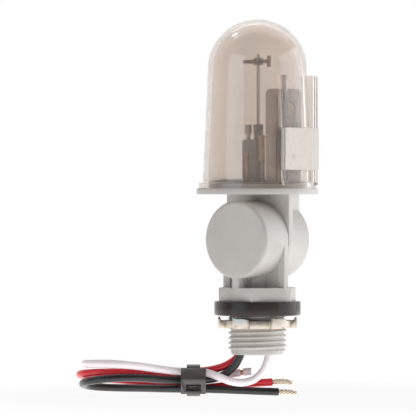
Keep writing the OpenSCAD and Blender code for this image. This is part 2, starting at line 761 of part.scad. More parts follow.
module photocell_holder() {
    x0 = holder_face - holder_l;
    rib = [holder_rib_w, holder_w + 2 * holder_rib_t, holder_h - holder_corner_r];
    color([0.20, 0.18, 0.17]) difference() {
        union() {
            translate([x0, 0, board_z1]) rotate([90, 0, 90]) linear_extrude(holder_l) {
                translate([-holder_w / 2, 0]) square([holder_w, holder_h - holder_corner_r]);
                translate([holder_corner_r - holder_w / 2, 0])
                    square([holder_w - 2 * holder_corner_r, holder_h]);
                for (s = [-1, 1])
                    translate([s * (holder_w / 2 - holder_corner_r), holder_h - holder_corner_r])
                        circle(holder_corner_r);
            }
            translate([holder_face - holder_rib_gap - holder_rib_w, -rib[1] / 2, board_z1]) cube(rib);
        }
        translate([x0 + holder_t, -holder_w / 2 + holder_t, board_z1 - cut])
            cube([cell_seat - holder_t - x0 - holder_t, holder_w - 2 * holder_t, holder_h - holder_corner_r + cut]);
        translate([cell_seat, 0, board_z1 + cell_z]) rotate([0, 90, 0])
            cylinder(d = cell_d + 2 * cell_clear, h = holder_l);
        for (s = [-1, 1]) translate([x0 + holder_t, s * cell_wire_gap / 2, board_z1 + cell_z])
            rotate([0, 90, 0]) cylinder(d = cell_wire_d + 2 * cell_clear, h = holder_l);
    }
}

module photocell() {
    color([0.66, 0.52, 0.38]) translate([cell_seat, 0, board_z1 + cell_z]) rotate([0, 90, 0])
        cylinder(d = cell_d, h = cell_t);
}

module photocell_wires() {
    drop_x = cell_seat - holder_t - cell_wire_d;
    color([0.72, 0.70, 0.66]) for (s = [-1, 1]) translate([0, s * cell_wire_gap / 2, 0]) {
        translate([drop_x, 0, board_z1 + cell_z]) rotate([0, 90, 0])
            cylinder(d = cell_wire_d, h = cell_seat - drop_x);
        translate([drop_x, 0, board_z1 + cell_z]) sphere(d = cell_wire_d);
        translate([drop_x, 0, board_z1]) cylinder(d = cell_wire_d, h = cell_z);
    }
}

swivel_stem();
stem_gasket();
locknut();
lead_red();
lead_black();
lead_white();
red_strands();
black_strands();
white_strands();
white_slug();
cable_tie();
swivel_head();
dome_cover();
base_board();
head_wires();
terminal_block();
bimetal_blade();
contact_arm();
clamp_bush();
contact_stud();
stud_wire();
heater_resistor();
photocell_holder();
photocell();
photocell_wires();
light_shield();
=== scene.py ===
"""Looks of the photocell switch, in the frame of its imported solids."""

import json
import logging
import math
from collections.abc import Callable, Sequence
from dataclasses import dataclass
from enum import Enum
from typing import Any

import bmesh
import bpy
from mathutils import Matrix, Vector

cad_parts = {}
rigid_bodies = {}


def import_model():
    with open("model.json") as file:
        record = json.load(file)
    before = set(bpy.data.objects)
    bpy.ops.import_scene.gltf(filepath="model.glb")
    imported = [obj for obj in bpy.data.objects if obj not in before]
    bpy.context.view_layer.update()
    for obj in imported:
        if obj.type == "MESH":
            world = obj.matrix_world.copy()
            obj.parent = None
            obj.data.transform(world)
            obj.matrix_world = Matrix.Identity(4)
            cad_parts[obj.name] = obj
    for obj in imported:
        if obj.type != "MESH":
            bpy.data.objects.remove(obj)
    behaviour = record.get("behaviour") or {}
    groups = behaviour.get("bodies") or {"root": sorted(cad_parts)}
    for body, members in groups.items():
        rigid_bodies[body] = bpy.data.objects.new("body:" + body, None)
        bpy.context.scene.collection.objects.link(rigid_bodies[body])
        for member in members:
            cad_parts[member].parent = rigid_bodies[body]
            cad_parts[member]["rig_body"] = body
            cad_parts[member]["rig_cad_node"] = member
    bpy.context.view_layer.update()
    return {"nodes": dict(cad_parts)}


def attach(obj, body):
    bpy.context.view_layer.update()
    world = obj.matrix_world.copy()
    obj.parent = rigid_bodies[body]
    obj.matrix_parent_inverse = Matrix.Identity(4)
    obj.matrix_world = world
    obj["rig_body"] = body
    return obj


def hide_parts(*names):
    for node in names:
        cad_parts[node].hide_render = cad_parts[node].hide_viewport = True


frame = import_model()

MM = 0.001
FULL_TURN = 2 * math.pi
HANK_HEADING = math.radians(38)
UP = Vector((0, 0, 1))
CUT_NEAR = 1e-7  # how near a cut a vertex counts as on it, in metres
Color = tuple[float, float, float]
Point = tuple[float, float, float]
Object = bpy.types.Object
Material = bpy.types.Material
log = logging.getLogger("photocell_switch")


class Body(Enum):
    """The rigid bodies that pieces ride on."""

    STEM = "stem"
    HEAD = "head"
    SHIELD = "shield"


def srgb(red: int, green: int, blue: int) -> Color:
    """Turns a colour as seen on a screen into the shader's linear one.

    Args:
        red: Red from 0 to 255.
        green: Green from 0 to 255.
        blue: Blue from 0 to 255.

    Returns:
        The linear colour.
    """

    def linear(level: int) -> float:
        """One channel of it."""
        part = level / 255
        return part / 12.92 if part <= 0.04045 else ((part + 0.055) / 1.055) ** 2.4

    return linear(red), linear(green), linear(blue)


# Shader maths


class Value:
    """A socket whose operators add the Math nodes that work them out."""

    def __init__(self, graph: "Graph", socket: bpy.types.NodeSocket) -> None:
        """Wraps an output socket of a graph."""
        self.graph = graph
        self.socket = socket

    def math(self, operation: str, *others: "Value | float", swap: bool = False) -> "Value":
        """Adds a Math node on this value.

        Args:
            operation: The Math node's operation.
            others: Further operands.
            swap: Whether this value is the second operand.

        Returns:
            The node's result.
        """
        terms: list[Any] = [self, *others]
        if swap:
            terms.reverse()
        return self.graph.node("ShaderNodeMath", {"operation": operation}, dict(enumerate(terms)))

    def __add__(self, other: "Value | float") -> "Value":
        """Sum."""
        return self.math("ADD", other)

    __radd__ = __add__

    def __sub__(self, other: "Value | float") -> "Value":
        """Difference."""
        return self.math("SUBTRACT", other)

    def __rsub__(self, other: float) -> "Value":
        """Difference with this value taken away."""
        return self.math("SUBTRACT", other, swap=True)

    def __mul__(self, other: "Value | float") -> "Value":
        """Product."""
        return self.math("MULTIPLY", other)

    __rmul__ = __mul__

    def __truediv__(self, other: "Value | float") -> "Value":
        """Quotient."""
        return self.math("DIVIDE", other)

    def over(self, low: float, high: float) -> "Value":
        """Goes from 0 at low to 1 at high, smoothly.

        Args:
            low: Where the result is 0.
            high: Where the result is 1.

        Returns:
            The eased share.
        """
        settings = {"interpolation_type": "SMOOTHSTEP"}
        inputs = {"Value": self, "From Min": low, "From Max": high}
        return self.graph.node("ShaderNodeMapRange", settings, inputs)


class Graph:
    """The node tree of one material."""

    def __init__(self, name: str) -> None:
        """Starts an empty material of that name."""
        self.material = bpy.data.materials.new(name)
        self.material.use_nodes = True
        self.tree = self.material.node_tree
        self.tree.nodes.clear()

    @classmethod
    def of_tree(cls, tree: bpy.types.NodeTree) -> "Graph":
        """Takes over a tree that isn't a material's, emptied."""
        graph = cls.__new__(cls)
        graph.tree = tree
        tree.nodes.clear()
        return graph

    def node(
        self,
        kind: str,
        settings: dict[str, Any] | None = None,
        inputs: dict[str | int, Any] | None = None,
        out: str | int = 0,
    ) -> Value:
        """Adds a node.

        Args:
            kind: The node's type.
            settings: Its properties, set first.
            inputs: Values or links by socket name or number.
            out: The output socket to return.

        Returns:
            The output socket.
        """
        made = self.tree.nodes.new(kind)
        for key, value in (settings or {}).items():
            setattr(made, key, value)
        for key, value in (inputs or {}).items():
            if isinstance(value, Value):
                self.tree.links.new(value.socket, made.inputs[key])
            else:
                made.inputs[key].default_value = value
        return Value(self, made.outputs[out])

    def place(self, stretch: Point = (1, 1, 1)) -> Value:
        """Object coordinates in millimetres, stretched along the axes.

        Args:
            stretch: How finely a pattern repeats along each axis.

        Returns:
            The coordinates.
        """
        where = self.node("ShaderNodeTexCoord", out="Object")
        scale = tuple(1000 * s for s in stretch)
        return self.node("ShaderNodeMapping", None, {"Vector": where, "Scale": scale})

    def noise(self, scale: float, detail: float = 3, stretch: Point = (1, 1, 1)) -> Value:
        """Noise from 0 to 1, in features per millimetre.

        Args:
            scale: Features per millimetre.
            detail: Octaves of finer noise.
            stretch: How finely the noise repeats along each axis.

        Returns:
            The noise.
        """
        spots = {"Vector": self.place(stretch), "Scale": scale, "Detail": detail}
        return self.node("ShaderNodeTexNoise", None, spots, "Fac")

    def blend(self, first: "Color | Value", second: "Color | Value", share: "Value | float") -> Value:
        """Mixes two colours.

        Args:
            first: The colour at 0.
            second: The colour at 1.
            share: The share of the second.

        Returns:
            The mixed colour.
        """
        ends = [c if isinstance(c, Value) else (*c, 1) for c in (first, second)]
        return self.node("ShaderNodeMix", {"data_type": "RGBA"}, {0: share, 6: ends[0], 7: ends[1]}, 2)

    def bump(self, height: Value, depth: float) -> Value:
        """Turns a height into a normal.

        Args:
            height: The height, from 0 to 1.
            depth: What a height of 1 stands for, in millimetres.

        Returns:
            The normal.
        """
        return self.node("ShaderNodeBump", None, {"Strength": 1.0, "Distance": depth * MM, "Height": height})

    def close(self, shader: Value, output: str = "ShaderNodeOutputMaterial") -> None:
        """Links a shader to the output.

        Args:
            shader: The finished shader.
            output: The output node's type.
        """
        end = self.tree.nodes.new(output)
        self.tree.links.new(shader.socket, end.inputs["Surface"])

    def surface(self, **sockets: Any) -> Material:
        """Ends the graph in one Principled shader.

        Args:
            sockets: Its inputs, with underscores for spaces.

        Returns:
            The material.
        """
        inputs = {key.replace("_", " "): value for key, value in sockets.items()}
        self.close(self.node("ShaderNodeBsdfPrincipled", None, inputs))
        return self.material


# Finishes


@dataclass(frozen=True)
class MouldedPlastic:
    """Moulded plastic with a fine skin and faint flow marks."""

    name: str
    color: Color
    roughness: float = 0.5
    grain: float = 3.0
    depth: float = 0.02
    mottle: float = 0.06
    gloss: float = 0.5

    def build(self) -> Material:
        """Makes the material."""
        graph = Graph(self.name)
        clouds = graph.noise(0.11, 4)
        skin = graph.noise(self.grain, 3)
        deep = tuple(c * (1 - self.mottle) for c in self.color)
        pale = tuple(min(1.0, c * (1 + self.mottle)) for c in self.color)
        return graph.surface(
            Base_Color=graph.blend(deep, pale, clouds.over(0.3, 0.7)),
            Roughness=self.roughness - 0.06 + 0.12 * skin,
            Specular_IOR_Level=self.gloss,
            Normal=graph.bump(skin, self.depth),
        )


@dataclass(frozen=True)
class SheetMetal:
    """Rolled or plated metal with fine lines along one axis and dull spots."""

    name: str
    color: Color
    stain: Color
    roughness: float = 0.28
    lines: Point = (1, 1, 1)
    depth: float = 0.008

    def build(self) -> Material:
        """Makes the material."""
        graph = Graph(self.name)
        streaks = graph.noise(2.4, 3, self.lines)
        spots = graph.noise(0.5, 5).over(0.52, 0.78)
        return graph.surface(
            Base_Color=graph.blend(self.color, self.stain, spots * 0.55),
            Metallic=1.0,
            Roughness=self.roughness + 0.14 * streaks + 0.1 * spots,
            Normal=graph.bump(streaks, self.depth),
        )


@dataclass(frozen=True)
class Insulation:
    """Soft insulation of a lead, with faint rub marks."""

    name: str
    color: Color
    rubbed: Color

    def build(self) -> Material:
        """Makes the material."""
        graph = Graph(self.name)
        rubs = graph.noise(0.6, 5).over(0.5, 0.85)
        skin = graph.noise(5, 2)
        return graph.surface(
            Base_Color=graph.blend(self.color, self.rubbed, rubs * 0.5),
            Roughness=0.26 + 0.14 * rubs + 0.06 * skin,
            Normal=graph.bump(skin, 0.012),
        )


@dataclass(frozen=True)
class SmokedClear:
    """Clear smoked plastic of the dome, polished, with faint flow in its tint.

    The lip of the -Y rail, from one corner on and up to an x, gets a painted shade: it is coloured darker
    than the rest of the dome.
    """

    name: str
    color: Color
    # Colour of the painted shade on the -Y rail's lip.
    lip_painted_shade: Color
    roughness: float = 0.06
    haze: float = 0.085
    lip_corner: Point = (18.2, -8.7, 47.9)
    lip_fade: float = 0.3
    lip_end: tuple[float, float] = (19.4, 19.6)

    def build(self) -> Material:
        """Makes the material."""
        graph = Graph(self.name)
        flow = graph.noise(0.06, 2, (1, 1, 0.35))
        deep = tuple(c * 0.96 for c in self.color)
        tint = graph.blend(deep, self.color, flow.over(0.35, 0.65))
        x, y, z = (graph.node("ShaderNodeSeparateXYZ", None, {0: graph.place()}, axis) for axis in "XYZ")
        front, side, low = self.lip_corner
        fade = self.lip_fade
        # Mask of the painted shade: the -Y rail's lip is coloured darker where this is 1.
        lip = x.over(front, front + fade) * y.over(side, side - fade) * z.over(low, low + fade)
        return graph.surface(
            Base_Color=graph.blend(tint, self.lip_painted_shade, lip * (1 - x.over(*self.lip_end))),
            Roughness=self.roughness + 0.02 * flow,
            IOR=1.33,
            Transmission_Weight=1 - self.haze,
            Coat_Weight=0.5,
            Coat_Roughness=0.02,
        )


@dataclass(frozen=True)
class Laminate:
    """Pressed insulating board with short fibres."""

    name: str
    color: Color
    fibre: Color

    def build(self) -> Material:
        """Makes the material."""
        graph = Graph(self.name)
        threads = graph.noise(1.6, 4, (1, 0.25, 1)).over(0.45, 0.7)
        return graph.surface(
            Base_Color=graph.blend(self.color, self.fibre, threads),
            Roughness=0.5 + 0.2 * threads,
            Normal=graph.bump(threads, 0.02),
        )


@dataclass(frozen=True)
class CellFace:
    """Lacquered face of the photocell, with its snaking track."""

    name: str
    ground: Color
    track: Color
    pitch: float = 0.55
    bands_at_one: float = 3.18

    def build(self) -> Material:
        """Makes the material."""
        graph = Graph(self.name)
        scale = 1 / self.pitch / self.bands_at_one
        bands = {"Vector": graph.place(), "Scale": scale, "Distortion": 0.6, "Detail": 0}
        wave = graph.node("ShaderNodeTexWave", {"bands_direction": "Z"}, bands, "Fac")
        line = wave.over(0.45, 0.6)
        return graph.surface(
            Base_Color=graph.blend(self.ground, self.track, line),
            Roughness=0.25 + 0.15 * line,
            Coat_Weight=0.4,
        )


class Finishes:
    """The materials of the switch, each made once."""

    def __init__(self) -> None:
        """Makes every finish."""
        self.grey = MouldedPlastic(
            "grey_plastic", srgb(184, 179, 174), 0.46, grain=2.2, depth=0.012, mottle=0.03, gloss=0.4
        ).build()
        self.rubber = MouldedPlastic(
            "black_rubber", srgb(46, 39, 36), 0.22, grain=4.0, depth=0.006, mottle=0.15, gloss=0.3
        ).build()
        self.nylon = MouldedPlastic(
            "black_nylon", srgb(73, 68, 66), 0.24, grain=3.0, depth=0.012, mottle=0.2, gloss=0.8
        ).build()
        self.dark = MouldedPlastic("dark_plastic", srgb(116, 107, 101), grain=2.0, mottle=0.15).build()
        self.holder = MouldedPlastic("holder_plastic", srgb(178, 166, 157), grain=2.0, mottle=0.08).build()
        self.ceramic = MouldedPlastic(
            "beige_ceramic", srgb(182, 154, 128), 0.55, grain=4.0, mottle=0.1
        ).build()
        self.plate = SheetMetal(
            "plated_steel", srgb(200, 190, 177), srgb(120, 110, 98), 0.3, (1.2, 1.2, 0.12), 0.03
        ).build()
        self.sheet = SheetMetal(
            "bright_sheet", srgb(194, 184, 175), srgb(186, 174, 164), 0.46, (1, 1, 0.05), 0.003
        ).build()
        self.steel = SheetMetal(
            "spring_steel", srgb(160, 152, 143), srgb(122, 114, 106), 0.36, (1, 1, 0.1)
        ).build()
        self.brass = SheetMetal(
            "contact_brass", srgb(118, 106, 95), srgb(90, 80, 70), 0.36, (1, 0.2, 1)
        ).build()
        self.tinned = SheetMetal("tinned_copper", srgb(226, 212, 193), srgb(186, 152, 122), 0.3).build()
        self.copper = SheetMetal("bare_copper", srgb(200, 150, 116), srgb(160, 112, 84), 0.34).build()
        self.red = Insulation("red_insulation", srgb(206, 30, 44), srgb(226, 62, 70)).build()
        self.black = Insulation("black_insulation", srgb(28, 26, 26), srgb(48, 45, 44)).build()
        self.white = Insulation("white_insulation", srgb(238, 228, 231), srgb(222, 211, 215)).build()
        # The third colour is the painted shade of the -Y rail's lip.
        self.smoked = SmokedClear("smoked_plastic", srgb(231, 221, 213), srgb(110, 98, 90)).build()
        self.board = Laminate("brown_laminate", srgb(84, 73, 66), srgb(106, 92, 82)).build()
        self.cell = CellFace("photocell_face", srgb(206, 190, 176), srgb(182, 154, 132)).build()


# Modelling by hand


def deselect() -> None:
    """Leaves nothing selected, in object mode."""
    if bpy.context.object is not None and bpy.context.object.mode != "OBJECT":
        bpy.ops.object.mode_set(mode="OBJECT")
    bpy.ops.object.select_all(action="DESELECT")


def select_all() -> None:
    """Selects the whole mesh, in edit mode."""
    bpy.ops.mesh.select_all(action="SELECT")


class Workpiece:
    """A mesh on the bench, with selection by place and the usual tools."""

    def __init__(self, obj: Object, name: str) -> None:
        """Takes an object on under a name."""
        self.obj = obj
        obj.name = name
        obj.data.name = name

    @classmethod
    def from_primitive(cls, name: str, kind: str, **sizes: Any) -> "Workpiece":
        """Adds a primitive.

        Args:
            name: The piece's name.
            kind: The primitive, such as "cube".
            sizes: The operator's sizes and place.

        Returns:
            The new piece.
        """
        deselect()
        getattr(bpy.ops.mesh, f"primitive_{kind}_add")(**sizes)
        return cls(bpy.context.object, name)

    @classmethod
    def from_line(cls, name: str, points: Sequence[Point]) -> "Workpiece":
        """Draws a line of edges, vertex by vertex.

        Args:
            name: The piece's name.
            points: Where the line goes, in millimetres.

        Returns:
            The new piece, with its vertices in that order.
        """
        piece = cls.from_primitive(name, "plane", size=MM)
        places = [Vector(point) * MM for point in points]
        with piece.edit():
            select_all()
            bpy.ops.mesh.merge(type="CENTER")
            bpy.ops.transform.translate(value=places[0])
            for last, place in zip(places, places[1:]):
                bpy.ops.mesh.extrude_region_move(TRANSFORM_OT_translate={"value": place - last})
        return piece

    @classmethod
    def from_node(cls, name: str, node: str) -> "Workpiece":
        """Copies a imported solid, with its triangles merged into flat faces.

        Args:
            name: The piece's name.
            node: The solid's node.

        Returns:
            The copy.
        """
        deselect()
        copy = frame["nodes"][node].copy()
        copy.data = copy.data.copy()
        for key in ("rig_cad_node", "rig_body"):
            if key in copy:
                del copy[key]
        copy.parent = None
        bpy.context.scene.collection.objects.link(copy)
        copy.matrix_world = Matrix.Identity(4)
        piece = cls(copy, name)
        piece.activate()
        copy.data.materials.clear()
        if copy.data.has_custom_normals:
            bpy.ops.mesh.customdata_custom_splitnormals_clear()
        with piece.edit():
            select_all()
            bpy.ops.mesh.remove_doubles(threshold=1e-6)
            bpy.ops.mesh.dissolve_limited(angle_limit=math.radians(0.6))
        return piece

    def activate(self) -> None:
        """Makes this the one selected, active object."""
        deselect()
        self.obj.select_set(True)
        bpy.context.view_layer.objects.active = self.obj

    def edit(self) -> "EditMode":
        """Opens edit mode for a with block."""
        return EditMode(self)

    def pick(self, test: Callable[[Vector], bool], mode: str = "VERT") -> None:
        """Selects vertices, or the edges whose middles pass a test, in edit mode.

        Args:
            test: Takes a place in millimetres.
            mode: VERT or EDGE.
        """
        bpy.ops.mesh.select_all(action="DESELECT")
        bpy.ops.mesh.select_mode(type=mode)
        mesh = bmesh.from_edit_mesh(self.obj.data)
        for part in mesh.verts if mode == "VERT" else mesh.edges:
            middle = part.co if mode == "VERT" else (part.verts[0].co + part.verts[1].co) / 2
            if test(middle / MM):
                part.select_set(True)
        mesh.select_flush_mode()
        bmesh.update_edit_mesh(self.obj.data)

    def finish_with(self, kind: str, **settings: Any) -> "Workpiece":
        """Adds a modifier and applies it.

        Args:
            kind: The modifier's type.
            settings: Its settings.

        Returns:
            This piece.
        """
        self.activate()
        bpy.ops.object.modifier_add(type=kind)
        modifier = self.obj.modifiers[-1]
        for key, value in settings.items():
            setattr(modifier, key, value)
        bpy.ops.object.modifier_apply(modifier=modifier.name)
        return self

    def soften(self, width: float, angle: float = 35, segments: int = 2) -> "Workpiece":
        """Rounds the sharp edges over.

        Args:
            width: The rounding, in millimetres.
            angle: Edges sharper than this many degrees are rounded.
            segments: Steps in the rounding.

        Returns:
            This piece.
        """
        return self.finish_with(
            "BEVEL", width=width * MM, segments=segments, limit_method="ANGLE",
            angle_limit=math.radians(angle), miter_outer="MITER_ARC", harden_normals=False,
        )

    def spin(self, steps: int) -> "Workpiece":
        """Turns the line once round the stem's axis and closes it.

        Args:
            steps: Steps in the turn.

        Returns:
            This piece.
        """
        with self.edit():
            select_all()
            bpy.ops.mesh.spin(steps=steps, angle=FULL_TURN, center=(0, 0, 0), axis=(0, 0, 1))
            select_all()
            bpy.ops.mesh.remove_doubles(threshold=1e-6)
            bpy.ops.mesh.normals_make_consistent(inside=False)
        return self

    def merge(self, tool: "Workpiece", operation: str) -> "Workpiece":
        """Adds or takes away another piece and uses it up.

        Args:
            tool: The other piece.
            operation: UNION or DIFFERENCE.

        Returns:
            This piece.
        """
        self.finish_with("BOOLEAN", operation=operation, object=tool.obj, solver="EXACT")
        bpy.data.objects.remove(tool.obj)
        return self

    def join(self, *others: "Workpiece") -> "Workpiece":
        """Joins other pieces into this one.

        Args:
            others: The pieces to take in.

        Returns:
            This piece.
        """
        self.activate()
        for other in others:
            other.obj.select_set(True)
        bpy.ops.object.join()
        return self

    def settle(self, material: Material, smooth: float = 35) -> Object:
        """Puts the place into the mesh, smooths it and gives it its material.

        Args:
            material: The finish.
            smooth: Edges flatter than this many degrees are shaded smooth.

        Returns:
            The finished object.
        """
        self.activate()
        bpy.ops.object.transform_apply(location=True, rotation=True, scale=True)
        bpy.ops.object.shade_smooth_by_angle(angle=math.radians(smooth))
        self.obj.data.materials.clear()
        self.obj.data.materials.append(material)
        return self.obj


class EditMode:
    """Edit mode on one piece, for a with block."""

    def __init__(self, piece: Workpiece) -> None:
        """Keeps the piece for the block."""
        self.piece = piece

    def __enter__(self) -> Workpiece:
        """Enters edit mode with nothing else selected."""
        self.piece.activate()
        bpy.ops.object.mode_set(mode="EDIT")
        bpy.ops.mesh.select_mode(type="VERT")
        return self.piece

    def __exit__(self, *failure: object) -> None:
        """Goes back to object mode."""
        bpy.ops.object.mode_set(mode="OBJECT")


def declare(obj: Object, body: Body, node: str) -> None:
    """Ties a finished piece to its body and the solid it stands for.

    Args:
        obj: The piece.
        body: The body it rides on.
        node: The solid it replaces.
    """
    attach(obj, body.value)
    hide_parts(node)
    log.info("%s: %d faces on %s", obj.name, len(getattr(obj.data, "polygons", ())), body.value)


def dress(node: str, material: Material) -> None:
    """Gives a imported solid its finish, as it is.

    Args:
        node: The solid's node.
        material: Its finish.
    """
    mesh = frame["nodes"][node].data
    mesh.materials.clear()
    mesh.materials.append(material)
    log.info("%s: dressed as %s", node, material.name)


def in_hank(point: Point) -> Vector:
    """Places a point of the tied hank, which lies at an angle in plan.

    Args:
        point: Along, across and height in millimetres.

    Returns:
        The point in the frame, in metres.
    """
    along, across, height = point
    x = along * math.cos(HANK_HEADING) + across * math.sin(HANK_HEADING)
    y = along * math.sin(HANK_HEADING) - across * math.cos(HANK_HEADING)
    return Vector((x, y, height)) * MM


# Studio


@dataclass(frozen=True)
class SoftBox:
    """A lamp with a diffuser.

    The place is right of the object, towards the camera and up, in metres.
    """

    name: str
    place: Point
    size: tuple[float, float]
    level: float
    color: Color = (1, 1, 1)
    reflected: bool = True
    lights: bool = True
    aim_up: float = 0.04


@dataclass
class Studio:
    """Camera, floor and lights."""

    azimuth: float = 38.3
    elevation: float = 0.3
    distance: float = 1.5
    field_width: float = 0.1498
    aim_right: float = -0.0178
    aim_up: float = 0.0386
    floor_z: float = -0.0294
    floor_r: float = 0.45
    floor_white: float = 0.92
    floor_fade: tuple[float, float] = (70, 150)
    room: float = 0.2
    table_glow: float = 0.8
    table_light: float = 2.05
    backdrop_edge: tuple[float, float] = (-0.1, 0.4)

    @property
    def right(self) -> Vector:
        """Level direction to the picture's right."""
        turn = math.radians(self.azimuth)
        return Vector((math.cos(turn), math.sin(turn), 0))

    @property
    def near(self) -> Vector:
        """Level direction towards the camera."""
        turn = math.radians(self.azimuth)
        return Vector((math.sin(turn), -math.cos(turn), 0))

    def camera(self) -> None:
        """Sets the camera at the picture's angle, with a long lens."""
        rise = math.radians(self.elevation)
        back = self.near * math.cos(rise) + UP * math.sin(rise)
        aim = self.right * self.aim_right + UP * self.aim_up
        deselect()
        bpy.ops.object.camera_add(location=aim + back * self.distance)
        camera = bpy.context.object
        camera.name = "photo_camera"
        camera.rotation_euler = (-back).to_track_quat("-Z", "Y").to_euler()
        camera.data.lens = camera.data.sensor_width * self.distance / self.field_width
        camera.data.clip_start, camera.data.clip_end = 0.05, 50
        bpy.context.scene.camera = camera

    def world(self) -> None:
        """White surroundings, a dimmer room for light, and a white backdrop that gloss shows too."""
        world = bpy.data.worlds.new("white_room")
        bpy.context.scene.world = world
        world.use_nodes = True
        graph = Graph.of_tree(world.node_tree)
        where = graph.node("ShaderNodeTexCoord", out="Generated")
        ends = {0: where, 1: -self.near}
        facing = graph.node("ShaderNodeVectorMath", {"operation": "DOT_PRODUCT"}, ends, "Value")
        glossy = graph.node("ShaderNodeLightPath", out="Is Glossy Ray")
        seen = graph.node("ShaderNodeLightPath", out="Is Camera Ray")
        through = graph.node("ShaderNodeLightPath", out="Is Transmission Ray")
        shown = seen.math("MAXIMUM", through).math("MAXIMUM", glossy * facing.over(*self.backdrop_edge))
        white = {"Color": (1, 1, 1, 1)}
        dim = graph.node("ShaderNodeBackground", None, {**white, "Strength": self.room})
        full = graph.node("ShaderNodeBackground", None, {**white, "Strength": 1.0})
        mixed = graph.node("ShaderNodeMixShader", None, {0: shown, 1: dim, 2: full})
        graph.close(mixed, "ShaderNodeOutputWorld")

    def floor(self) -> None:
        """A pale floor that shows white and keeps the object's shadow."""
        deselect()
        bpy.ops.mesh.primitive_circle_add(
            vertices=64, radius=self.floor_r, fill_type="NGON", location=(0, 0, self.floor_z)
        )
        floor = bpy.context.object
        floor.name = "floor"
        graph = Graph("pale_floor")
        seen = graph.node("ShaderNodeLightPath", out="Is Camera Ray")
        paper = graph.node("ShaderNodeBsdfDiffuse", None, {"Color": (0.8, 0.8, 0.8, 1)})
        level = self.table_light + seen * (1 - self.table_light)
        glow = graph.node("ShaderNodeEmission", None, {"Color": (1, 1, 1, 1), "Strength": level})
        reach = graph.node("ShaderNodeVectorMath", {"operation": "LENGTH"}, {0: graph.place()}, "Value")
        share = self.floor_white + (1 - self.floor_white) * reach.over(*self.floor_fade)
        shown = seen * (share - self.table_glow) + self.table_glow
        graph.close(graph.node("ShaderNodeMixShader", None, {0: shown, 1: paper, 2: glow}))
        floor.data.materials.append(graph.material)

    def lamp(self, box: SoftBox) -> None:
        """Hangs a soft box that looks at the object.

        Args:
            box: Its place, size and light.
        """
        right, near, up = box.place
        where = self.right * right + self.near * near + UP * up
        deselect()
        bpy.ops.object.light_add(type="AREA", location=where)
        lamp = bpy.context.object
        lamp.name = box.name
        lamp.data.shape = "RECTANGLE"
        lamp.data.size, lamp.data.size_y = box.size
        lamp.data.energy = box.level * math.pi * box.size[0] * box.size[1]
        lamp.data.color = box.color
        lamp.visible_glossy = lamp.visible_transmission = box.reflected
        lamp.visible_diffuse = box.lights
        lamp.rotation_euler = (UP * box.aim_up - where).to_track_quat("-Z", "Y").to_euler()

    def build(self) -> None:
        """Sets the whole studio."""
        bpy.context.scene.view_settings.view_transform = "Standard"
        self.camera()
        self.world()
        self.floor()
        for box in (
            SoftBox("left_box", (-0.39, 0.31, 0.15), (0.36, 0.4), 1.4, (0.52, 0.78, 1), lights=False),
            SoftBox("right_box", (0.6, -0.02, 0.16), (0.84, 0.5), 1.28, (0.82, 0.92, 1)),
            SoftBox("top_box", (0.05, -0.27, 0.62), (0.8, 0.6), 0.4),
            SoftBox("spot", (-0.27, -0.16, 0.5), (0.07, 0.07), 6.0),
            SoftBox("right_fill", (0.56, -0.1, 0.06), (0.4, 0.22), 5.0, reflected=False, aim_up=0.01),
            SoftBox("left_fill", (-0.35, 0.5, 0.36), (0.4, 0.4), 0.95, reflected=False),
            SoftBox("top_fill", (0, 0.2, 0.6), (0.5, 0.5), 0.6, reflected=False),
        ):
            self.lamp(box)
        log.info("studio set")


# Leads


